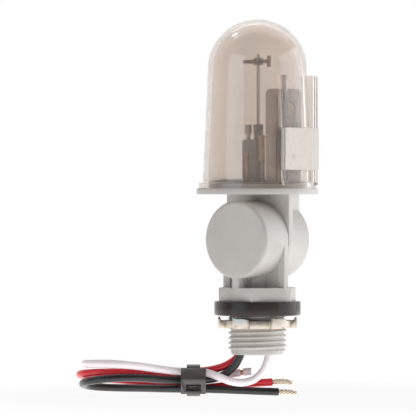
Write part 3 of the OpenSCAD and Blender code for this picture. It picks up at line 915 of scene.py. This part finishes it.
@dataclass
class Leads:
    """The three leads, folded into a tied hank, with their stripped ends.

    Routes are (along, across, height) in millimetres, in the plan direction of the hank. A cord's inner knots
    are drawn in by corner_cut, so that its smooth bends stay inside the route's.
    """

    finishes: Finishes
    lead_d: float = 2.8
    strand_d: float = 1.9
    wire_d: float = 0.58
    wires: int = 5
    lay: float = 6.2
    strand_knots: int = 40
    strand_swell: float = 0.35
    strand_taper: float = 0.3
    corner_cut: float = 0.27
    red: tuple[Point, ...] = (
        (-3.5, -0.2, 21), (-3.5, -0.2, 7.5), (-3.8, -0.8, 2.5), (-3.5, -1.1, -3.5), (-4.2, -1.1, -9.8),
        (-6.4, -0.9, -14.8), (-10.5, -0.6, -17.9), (-15.5, -0.5, -19.6), (-20.5, -0.5, -20.3),
        (-28, -0.5, -20.3), (-34.5, 1.6, -20.6), (-40.58, 4.6, -20.41), (-47.46, 7.6, -20.18),
        (-54.4, 8.6, -20.2), (-60.3, 6.7, -20.5), (-63.9, 1.7, -21.1), (-63.9, -4.5, -21.8),
        (-60.3, -9.5, -22.8), (-54.4, -11.4, -23.5), (-47.46, -10.3, -23.94), (-40.58, -7.2, -24.46),
        (-33.5, -3.5, -25.4), (-26, -0.6, -26.5), (-20.5, -0.5, -26.4), (-14, -0.6, -25.7),
        (-7.5, -0.6, -25), (-1, -0.5, -24.5), (5.4, -0.3, -24.1),
    )
    black: tuple[Point, ...] = (
        (-1.25, 1.6, 21), (-1.25, 1.6, 7.5), (-2.2, 1.9, 2.5), (-3.9, 2.2, -4), (-5.1, 2.4, -11),
        (-6.6, 2.2, -16), (-9.6, 1.4, -20), (-14.2, 0.8, -22.7), (-20.5, 2.4, -23.4), (-28, 2.4, -23.4),
        (-34.5, 4.7, -23), (-40.58, 8.1, -22.28), (-46.54, 10.8, -21.99), (-53.3, 11.8, -22.3),
        (-59.2, 9.9, -23.1), (-62.8, 4.9, -24.1), (-62.8, -1.3, -25.2), (-59.2, -6.3, -26.1),
        (-53.3, -8.2, -26.5), (-46.54, -7, -26.59), (-40.58, -3.6, -26.48), (-33.5, 0.2, -26.5),
        (-26, 2.5, -26.5), (-20.5, 2.5, -26.5), (-13, 2.5, -26.7), (-6, 2.5, -27), (1, 2.3, -27.3),
        (7.6, 2.2, -27.5),
    )
    white: tuple[Point, ...] = (
        (1.05, 3.35, 21), (1.05, 3.35, 7.5), (1.9, 3.1, 2.5), (3.2, 2.4, -4), (4.2, 1.6, -11),
        (3.9, 2.1, -16.5), (0.8, 2.7, -21.95), (-3.75, 3.75, -24.35), (-9.6, 4.65, -23.85),
        (-14.1, 4.25, -21.9), (-17.9, 2.85, -20.58), (-21.5, 2.45, -20.2), (-28, 2.4, -20.3),
        (-34.5, 4.6, -19.4), (-40.36, 7.7, -18.36), (-46.03, 10.2, -17.53), (-52.5, 11, -17.2),
        (-58.4, 9.1, -17.2), (-62, 4.1, -17.2), (-62, -2.1, -17.7), (-58.4, -7.1, -17.7),
        (-52.5, -9, -17.8), (-46.03, -8.2, -18.35), (-40.36, -5.4, -19.79), (-33.5, -2.7, -22.2),
        (-26, -0.7, -23.4), (-20.5, -0.7, -23.4), (-15.5, -2, -22.6), (-11, -2.1, -21.5), (-6.1, -2, -20.8),
    )
    red_end: tuple[Point, ...] = ((5.4, -0.3, -24.1), (8.6, -0.2, -23.9), (10.8, -0.1, -24), (12.7, 0, -24.6))
    black_end: tuple[Point, ...] = (
        (7.6, 2.2, -27.5), (10.9, 2.15, -27.6), (12.7, 2.1, -27.8), (14.4, 2.1, -28.1),
    )
    white_end: tuple[Point, ...] = ((-6.1, -2, -20.8), (-5.61, -1.99, -20.73), (-5.12, -1.98, -20.66))
    slug: tuple[Point, ...] = ((-5.12, -1.98, -20.66), (-3.65, -1.95, -20.45), (-2.2, -1.95, -20.4))

    def curve(self, name: str, route: Sequence[Point], diameter: float) -> Object:
        """Draws one round cord along a route.

        Args:
            name: The piece's name.
            route: Its route points.
            diameter: Its diameter in millimetres.

        Returns:
            The curve.
        """
        deselect()
        bpy.ops.curve.primitive_bezier_curve_add()
        obj = bpy.context.object
        obj.name = name
        line = obj.data
        knots = line.splines[0].bezier_points
        knots.add(len(route) - len(knots))
        places = [in_hank(point) for point in route]
        for i, knot in enumerate(knots):
            middle = (places[max(i - 1, 0)] + places[min(i + 1, len(places) - 1)]) / 2
            inner = 0 < i < len(places) - 1
            knot.co = places[i].lerp(middle, self.corner_cut if inner else 0)
            knot.handle_left_type = knot.handle_right_type = "AUTO"
        line.bevel_depth = diameter / 2 * MM
        line.bevel_resolution = 4
        line.resolution_u = 8
        line.use_fill_caps = True
        return obj

    def strands(self, name: str, route: Sequence[Point], turn: float) -> Object:
        """Twists bare wires along a stripped end.

        Args:
            name: The piece's name.
            route: The end's route points.
            turn: Where the twist starts, in degrees.

        Returns:
            The strands as one mesh.
        """
        centre = self.curve(name, route, self.strand_d)
        path = self.sample(centre, self.strand_knots)
        bpy.data.objects.remove(centre)
        radius = (self.strand_d - self.wire_d) / 2 * MM
        deselect()
        bpy.ops.curve.primitive_bezier_curve_add()
        obj = bpy.context.object
        line = obj.data
        line.splines.clear()
        for wire in range(self.wires):
            uneven = (wire * 5 + 3) % 4
            spline = line.splines.new("POLY")
            spline.points.add(len(path) - uneven - 1)
            for i, (knot, place) in enumerate(zip(spline.points, path)):
                ahead = (path[min(i + 1, len(path) - 1)] - path[max(i - 1, 0)]).normalized()
                side = ahead.cross(UP).normalized()
                gone = (place - path[0]).length / MM
                angle = math.radians(turn) + FULL_TURN * (wire / self.wires + gone / self.lay)
                share = i / (len(path) - 1)
                swell = 1 + self.strand_swell * math.sin(math.pi * share) - self.strand_taper * share
                out = side * math.cos(angle) + side.cross(ahead) * math.sin(angle)
                knot.co = (*(place + radius * swell * out), 1)
        line.bevel_depth = self.wire_d / 2 * MM
        line.bevel_resolution = 2
        line.use_fill_caps = True
        bpy.ops.object.convert(target="MESH")
        return Workpiece(bpy.context.object, name).settle(self.finishes.tinned, 60)

    def sample(self, obj: Object, count: int) -> list[Vector]:
        """Evenly spread points on a drawn cord's centreline.

        Args:
            obj: The cord.
            count: How many points.

        Returns:
            The points in metres.
        """
        bare = obj.copy()
        bare.data = obj.data.copy()
        bare.data.bevel_depth = 0
        bpy.context.scene.collection.objects.link(bare)
        mesh = bare.evaluated_get(bpy.context.evaluated_depsgraph_get()).to_mesh()
        spots = [v.co.copy() for v in mesh.vertices]
        bpy.data.objects.remove(bare)
        picked = [i * (len(spots) - 1) / (count - 1) for i in range(count)]
        return [spots[int(p)].lerp(spots[min(int(p) + 1, len(spots) - 1)], p % 1) for p in picked]

    def lead(self, color: str, route: Sequence[Point], material: Material, *ends: Object) -> None:
        """Args:
            color: The colour in the names of its cord and its solid.
            route: Its route points.
            material: Its insulation.
            ends: The pieces on its far end; not used.
        """
        obj = self.curve(f"lead_{color}_cord", route, self.lead_d)
        obj.data.materials.append(material)
        declare(obj, Body.STEM, f"lead_{color}")
        in_hank(route[0])

    def build(self) -> None:
        """Makes the leads and their ends."""
        kit = self.finishes
        red_end = self.strands("red_end", self.red_end, 0)
        declare(red_end, Body.STEM, "red_strands")
        black_end = self.strands("black_end", self.black_end, 25)
        declare(black_end, Body.STEM, "black_strands")
        bare = self.curve("white_end", self.white_end, self.strand_d)
        bare.data.materials.append(kit.copper)
        declare(bare, Body.STEM, "white_strands")
        slug = self.curve("white_end_slug", self.slug, self.lead_d)
        slug.data.materials.append(kit.white)
        declare(slug, Body.STEM, "white_slug")
        self.lead("red", self.red, kit.red, red_end)
        self.lead("black", self.black, kit.black, black_end)
        self.lead("white", self.white, kit.white, bare, slug)


# Stem


@dataclass
class ThreadedStem:
    """The moulded stem with its threaded nipple, the gasket and the locknut."""

    finishes: Finishes
    hex_foot: float = 5.1
    nipple_end: float = -14.1
    collar_r: float = 9.44
    collar_l: float = 1.6
    collar_chamfer: tuple[float, float] = (0.3, 0.35)
    bore_r: float = 8.0
    bore_chamfer: float = 0.25
    crest_r: float = 10.45
    root_r: float = 9.52
    root_round: float = 0.1
    pitch: float = 1.814
    pitches_below: float = 1.73
    overlap: float = 0.2
    steps: int = 64
    gasket_hole: float = 10.65
    gasket_r: float = 15.55
    gasket_edge: float = 0.5
    gasket_steps: int = 96
    nut_turn: float = 41.5
    nut_top: float = -1.8
    lug_half: float = 0.236
    lug_lift: float = 0.35

    def ridge(self, low: float, high: float) -> Workpiece:
        """Screws the thread's profile up the nipple and cuts it to a closed rod.

        Args:
            low: Where the rod starts.
            high: Where it ends.

        Returns:
            The rod.
        """
        p, root, crest, ease = self.pitch, self.root_r, self.crest_r, self.root_round
        half = [(root, 0), (root, 0.1), (root + ease, 0.15), (crest - ease, 0.36), (crest, 0.42)]
        profile = half + [(r, 1 - share) for r, share in reversed(half)]
        start = low - self.pitches_below * p
        rod = Workpiece.from_line("nipple", [(r, 0, start + share * p) for r, share in profile])
        turns = math.ceil((high - low) / p) + 3
        rod.finish_with(
            "SCREW", angle=FULL_TURN, screw_offset=p * MM, iterations=turns, steps=self.steps,
            render_steps=self.steps, axis="Z", use_smooth_shade=False, use_merge_vertices=False,
        )
        with rod.edit():
            select_all()
            bpy.ops.mesh.remove_doubles(threshold=2e-6)
            for height, clear in ((low, "clear_inner"), (high, "clear_outer")):
                select_all()
                place = (0, 0, height * MM)
                bpy.ops.mesh.bisect(
                    plane_co=place, plane_no=UP, use_fill=True, threshold=CUT_NEAR, **{clear: True}
                )
            select_all()
            bpy.ops.mesh.normals_make_consistent(inside=False)
        return rod

    def nipple(self) -> Workpiece:
        """Adds the plain collar below the thread and bores both.

        Returns:
            The nipple.
        """
        end, over = self.nipple_end, self.overlap
        low, high = end + self.collar_l, self.hex_foot + over
        rim, bore, mouth = self.collar_r, self.bore_r, self.bore_r + self.bore_chamfer
        cut_in, cut_up = self.collar_chamfer
        collar = [(0, end), (rim - cut_in, end), (rim, end + cut_up), (rim, low + over), (0, low + over)]
        hole = [(0, end - over), (mouth, end - over), (mouth, end), (bore, end + self.bore_chamfer)]
        hole += [(bore, high + over), (0, high + over)]
        piece = self.ridge(low, high)
        for name, section, operation in (("collar", collar, "UNION"), ("hole", hole, "DIFFERENCE")):
            tool = Workpiece.from_line(name, [(r, 0, z) for r, z in section])
            piece.merge(tool.spin(self.steps), operation)
        return piece

    def stem(self) -> None:
        """The stem's moulding, with its plain nipple cut off and the threaded one set in."""
        cut = self.hex_foot - 0.1
        body = Workpiece.from_node("stem_moulding", "swivel_stem")
        with body.edit():
            select_all()
            bpy.ops.mesh.bisect(plane_co=(0, 0, cut * MM), plane_no=UP, clear_inner=True, threshold=CUT_NEAR)
            body.pick(lambda v: abs(v.z - cut) < 0.002, "EDGE")
            bpy.ops.mesh.bridge_edge_loops()
        body.soften(0.25)
        body.join(self.nipple())
        declare(body.settle(self.finishes.grey, 40), Body.STEM, "swivel_stem")

    def gasket(self) -> None:
        """The rubber washer, turned from its rounded section."""
        hole, edge, high = self.gasket_hole, self.gasket_edge, self.hex_foot
        flat = self.gasket_r - edge
        rounding = (0, 0.4, 0.8, 1.2, math.pi / 2)
        section = [(hole, 0)]
        section += [(flat + edge * math.sin(t), edge - edge * math.cos(t)) for t in rounding]
        section += [(flat + edge * math.cos(t), high - edge + edge * math.sin(t)) for t in rounding]
        section += [(hole, high), (hole, 0)]
        ring = Workpiece.from_line("gasket_ring", [(r, 0, z) for r, z in section]).spin(self.gasket_steps)
        declare(ring.settle(self.finishes.rubber, 50), Body.STEM, "stem_gasket")

    def nut(self) -> None:
        """The locknut, with its lug tips bent into teeth."""
        piece = Workpiece.from_node("locknut_ring", "locknut")
        with piece.edit():
            for lug in range(6):
                middle = math.radians(60 * lug + self.nut_turn)
                for side in (-1, 1):
                    turn = middle + side * self.lug_half
                    edge = Vector((math.cos(turn), math.sin(turn)))
                    piece.pick(
                        lambda v, e=edge: v.z > self.nut_top + 0.3 and (v.xy.normalized() - e).length < 0.06
                    )
                    bpy.ops.transform.translate(value=(0, 0, -side * self.lug_lift * MM))
        piece.soften(0.15)
        declare(piece.settle(self.finishes.plate, 40), Body.STEM, "locknut")

    def build(self) -> None:
        """Makes the stem's pieces."""
        self.stem()
        self.gasket()
        self.nut()


# Head


@dataclass
class SwivelHead:
    """The head's moulding, the smoked dome with its rails, and the mechanism inside."""

    finishes: Finishes
    lip_foot: float = 45.65
    lip_top: float = 47.85
    lip_r: float = 21.2
    wall_top: float = 88.65
    foot_r: float = 19.7
    top_r: float = 17.9
    wall: float = 1.9
    turn_steps: int = 96
    rail_face: float = 19.7
    rail_root: float = 16.85
    rail_foot: float = 46.75
    rail_top: float = 86.05
    rail_web: tuple[float, float] = (7.5, 8.9)
    rail_out: float = 9.8
    rail_lip: float = 1.0
    rail_lean: float = 1.9
    rail_round: float = 0.9

    def moulding(self) -> None:
        """The flange, neck and knuckle half."""
        piece = Workpiece.from_node("head_moulding", "swivel_head")
        piece.soften(0.25)
        declare(piece.settle(self.finishes.grey, 40), Body.HEAD, "swivel_head")

    def shell(self) -> Workpiece:
        """The dome's wall and lip, turned from their section.

        Returns:
            The closed shell.
        """

        def arc(radius: float, steps: int = 24) -> list[Point]:
            """Quarter round from the top down to the wall."""
            turns = [math.pi / 2 * (1 - i / steps) for i in range(steps + 1)]
            return [(radius * math.cos(t), 0, self.wall_top + radius * math.sin(t)) for t in turns]

        def wall(top_r: float, foot_r: float, foot: float, steps: int = 10) -> list[Point]:
            """Straight wall from below the round down to its foot."""
            rows = [(i + 1) / steps for i in range(steps)]
            fall = foot - self.wall_top
            return [(top_r + (foot_r - top_r) * s, 0, self.wall_top + fall * s) for s in rows]

        foot_r, lip_r, high, low = self.foot_r, self.lip_r, self.lip_top, self.lip_foot
        fillet, corner, nick = 0.3, 0.35, 0.1
        draft = (foot_r - self.top_r) / (self.wall_top - high)
        rim = [
            (foot_r + nick, high + 0.08), (foot_r + fillet, high), (lip_r - corner, high),
            (lip_r - nick, high - nick), (lip_r, high - corner), (lip_r, low + nick), (lip_r - nick, low),
        ]
        outside = arc(self.top_r) + wall(self.top_r, foot_r, high + fillet) + [(r, 0, z) for r, z in rim]
        bore_r = foot_r - self.wall + draft * (high - low)
        inside = arc(self.top_r - self.wall) + wall(self.top_r - self.wall, bore_r, low)
        return Workpiece.from_line("dome", outside + inside[::-1]).spin(self.turn_steps)

    def rail(self, side: int) -> Workpiece:
        """One rail for the shield, an angle section with a rounded upper corner.

        Args:
            side: -1 or 1, for its side of the window.

        Returns:
            The rail.
        """
        face, root, out = self.rail_face, self.rail_root, self.rail_out
        near, far = self.rail_web
        back = face - self.rail_lip
        section = [(root, near), (face, near), (face, out), (back, out), (back, far), (root, far)]
        piece = Workpiece.from_line("rail", [(x, side * y, self.rail_foot) for x, y in section])
        with piece.edit():
            select_all()
            bpy.ops.mesh.edge_face_add()
            height = (self.rail_top - self.rail_foot) * MM
            bpy.ops.mesh.extrude_region_move(TRANSFORM_OT_translate={"value": (0, 0, height)})
            piece.pick(lambda v: v.z > self.rail_top - 0.01 and v.x < root + 0.1)
            bpy.ops.transform.translate(value=(-self.rail_lean * MM, 0, 0))
            piece.pick(lambda v: v.z > self.rail_top - 0.01 and v.x > face - 0.01, "EDGE")
            bpy.ops.mesh.bevel(offset=self.rail_round * MM, segments=5, affect="EDGES")
            select_all()
            bpy.ops.mesh.normals_make_consistent(inside=False)
        return piece

    def dome(self) -> None:
        """The dome with its two rails moulded on."""
        shell = self.shell()
        for side in (-1, 1):
            shell.merge(self.rail(side), "UNION")
        declare(shell.settle(self.finishes.smoked, 30), Body.HEAD, "dome_cover")

    def mechanism(self) -> None:
        """Makes what shows through the dome, with its edges eased."""
        kit = self.finishes
        for node, material, slot in (
            ("base_board", kit.board, "brown_laminate"),
            ("terminal_block", kit.dark, "dark_plastic"),
            ("bimetal_blade", kit.steel, "spring_steel"),
            ("contact_arm", kit.brass, "contact_brass"),
            ("clamp_bush", kit.dark, "dark_plastic"),
            ("contact_stud", kit.steel, "spring_steel"),
            ("photocell_holder", kit.holder, "dark_plastic"),
        ):
            piece = Workpiece.from_node(f"{node}_piece", node).soften(0.12)
            declare(piece.settle(material), Body.HEAD, node)
        for node, material in {
            "head_wires": kit.black,
            "stud_wire": kit.copper,
            "heater_resistor": kit.ceramic,
            "photocell": kit.cell,
            "photocell_wires": kit.tinned,
        }.items():
            dress(node, material)

    def build(self) -> None:
        """Makes the head's pieces."""
        self.moulding()
        self.mechanism()
        self.dome()


@dataclass
class LightShield:
    """The bent metal sheet that slides on the dome's rails."""

    finishes: Finishes

    def build(self) -> None:
        """Makes the shield."""
        piece = Workpiece.from_node("shield_sheet", "light_shield")
        piece.soften(0.06, 50, 1)
        declare(piece.settle(self.finishes.sheet, 30), Body.SHIELD, "light_shield")


@dataclass
class CableTie:
    """The black tie round the hank."""

    finishes: Finishes
    along: float = -23.0
    slot_front: float = 7.6
    pawl_size: Point = (5.6, 1.6, 0.85)
    pawl_z: float = -25.4

    def pawl(self) -> Workpiece:
        """The bar across the slot, bevelled along its upper edge.

        Returns:
            The pawl.
        """
        reach = self.slot_front - self.pawl_size[1]
        place = in_hank((self.along, reach, self.pawl_z))
        bar = Workpiece.from_primitive("pawl", "cube", size=MM, location=place)
        bpy.ops.transform.resize(value=self.pawl_size)
        bpy.ops.transform.rotate(value=-HANK_HEADING, orient_axis="Z", center_override=bar.obj.location)
        return bar.soften(0.25)

    def build(self) -> None:
        """Makes the tie, with the pawl that holds the strap in its head's slot."""
        piece = Workpiece.from_node("tie_strap", "cable_tie")
        piece.soften(0.3)
        piece.join(self.pawl())
        declare(piece.settle(self.finishes.nylon, 40), Body.STEM, "cable_tie")


def main() -> None:
    """Builds the studio and every piece, in order."""
    logging.basicConfig(level=logging.INFO, format="%(name)s: %(message)s")
    Studio().build()
    finishes = Finishes()
    Leads(finishes).build()
    CableTie(finishes).build()
    ThreadedStem(finishes).build()
    SwivelHead(finishes).build()
    LightShield(finishes).build()


if __name__ == "__main__":
    main()
